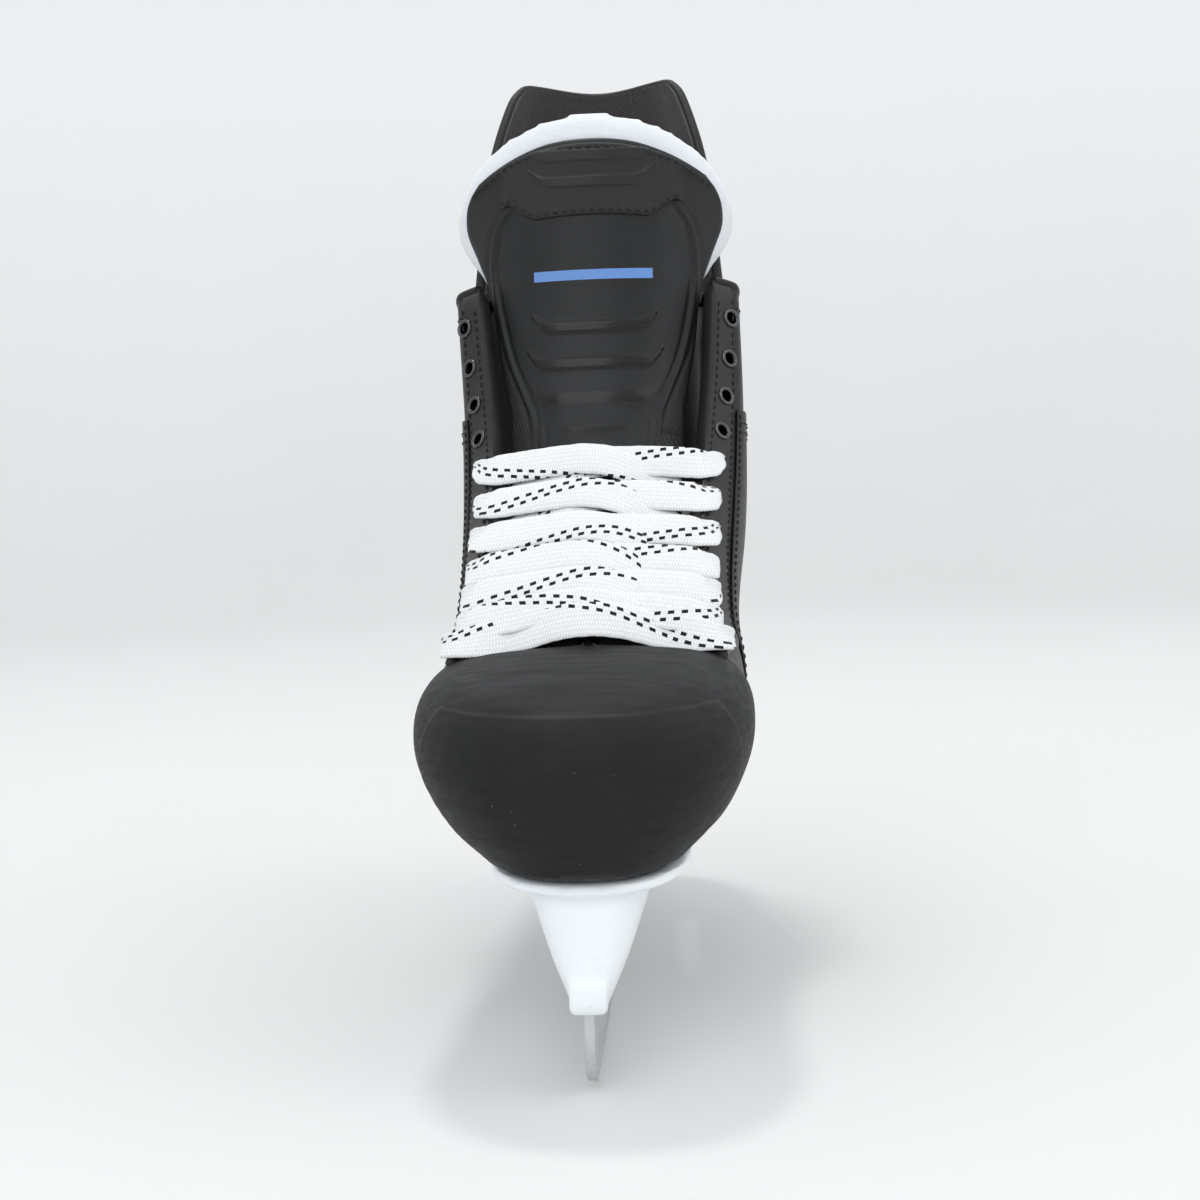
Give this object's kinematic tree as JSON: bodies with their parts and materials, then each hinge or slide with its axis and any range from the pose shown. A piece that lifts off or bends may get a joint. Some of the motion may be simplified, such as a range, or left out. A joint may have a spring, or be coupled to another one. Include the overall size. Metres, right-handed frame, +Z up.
{
  "type": "ice hockey skate",
  "caption": "Laced ice hockey skate boot with a hard toe cap, felt-backed tongue and tendon guard, on a plastic holder with a quick-release steel runner.",
  "frame": {"origin": "middle of the runner's edge, where it touches the ice", "axes": "+Z up, -Y towards the toe, +X towards the medial side of a right foot"},
  "size_m": [0.1122, 0.303, 0.3437],
  "materials": {
    "quarter_shell": "semi-gloss synthetic leather over a moulded composite",
    "toe_plastic": "matte moulded plastic",
    "facing_leather": "satin",
    "eyelet_metal": "dark nickel",
    "rivet_metal": "plain",
    "sole_composite": "fibre composite",
    "board_fibre": "pressed fibre",
    "footbed_foam": "cloth over foam",
    "lining_cloth": "brushed knit",
    "guard_plastic": "cloth over moulded plastic",
    "tongue_leather": "satin synthetic leather",
    "tongue_twill": "woven twill",
    "white_felt": "soft felt",
    "holder_nylon": "smooth",
    "trigger_nylon": "smooth",
    "runner_steel": "polished",
    "lace_cotton": "flat woven",
    "aglet_film": "clear film"
  },
  "bodies": {
    "boot": {"eyelet_lateral_01": "eyelet_metal", "eyelet_lateral_02": "eyelet_metal", "eyelet_lateral_03": "eyelet_metal", "eyelet_lateral_04": "eyelet_metal", "eyelet_lateral_05": "eyelet_metal", "eyelet_lateral_06": "eyelet_metal", "eyelet_lateral_07": "eyelet_metal", "eyelet_lateral_08": "eyelet_metal", "eyelet_lateral_09": "eyelet_metal", "eyelet_lateral_10": "eyelet_metal", "eyelet_lateral_11": "eyelet_metal", "eyelet_medial_01": "eyelet_metal", "eyelet_medial_02": "eyelet_metal", "eyelet_medial_03": "eyelet_metal", "eyelet_medial_04": "eyelet_metal", "eyelet_medial_05": "eyelet_metal", "eyelet_medial_06": "eyelet_metal", "eyelet_medial_07": "eyelet_metal", "eyelet_medial_08": "eyelet_metal", "eyelet_medial_09": "eyelet_metal", "eyelet_medial_10": "eyelet_metal", "eyelet_medial_11": "eyelet_metal", "facing_strip_lateral": "facing_leather", "facing_strip_medial": "facing_leather", "footbed": "footbed_foam", "holder": "holder_nylon", "holder_rivet_01": "rivet_metal", "holder_rivet_02": "rivet_metal", "holder_rivet_03": "rivet_metal", "holder_rivet_04": "rivet_metal", "holder_rivet_05": "rivet_metal", "holder_rivet_06": "rivet_metal", "holder_rivet_07": "rivet_metal", "holder_rivet_08": "rivet_metal", "holder_rivet_09": "rivet_metal", "holder_rivet_10": "rivet_metal", "insole_board": "board_fibre", "lace": "lace_cotton", "lace_tip_lateral": "aglet_film", "lace_tip_medial": "aglet_film", "liner": "lining_cloth", "outsole": "sole_composite", "quarter_shell": "quarter_shell", "toe_cap": "toe_plastic", "tongue_facing_lower": "tongue_leather", "tongue_felt_lower": "white_felt", "trigger_pin": "runner_steel", "trigger_spring": "runner_steel"},
    "tongue": {"tongue_facing_upper": "tongue_leather", "tongue_felt_upper": "white_felt", "tongue_top_patch": "tongue_twill"},
    "tendon_guard": {"tendon_guard": "guard_plastic", "tendon_guard_lining": "lining_cloth"},
    "trigger": {"trigger": "trigger_nylon"},
    "runner": {"runner": "runner_steel"}
  },
  "joints": [
    {"name": "tongue_flex", "type": "hinge", "parent": "boot", "child": "tongue", "pos_m": [0, 0.0128, 0.1985], "axis": [1, 0, 0], "range_deg": [0, 45], "stiffness_Nm_per_rad": 0.6},
    {"name": "tendon_guard_flex", "type": "hinge", "parent": "boot", "child": "tendon_guard", "pos_m": [0, 0.127, 0.2605], "axis": [-1, 0, 0], "range_deg": [0, 20], "stiffness_Nm_per_rad": 3},
    {"name": "runner_release", "type": "hinge", "parent": "boot", "child": "runner", "pos_m": [0, -0.1, 0.0395], "axis": [-1, 0, 0], "range_deg": [0, 2.4]},
    {"name": "trigger_pull", "type": "hinge", "parent": "boot", "child": "trigger", "pos_m": [0, 0.08, 0.0555], "axis": [-1, 0, 0], "range_deg": [0, 20], "stiffness_Nm_per_rad": 0.1, "springref_deg": -34.38}
  ],
  "couplings": [
    {"joint": "trigger_pull", "follows": "runner_release", "ratio": 8.33}
  ]
}
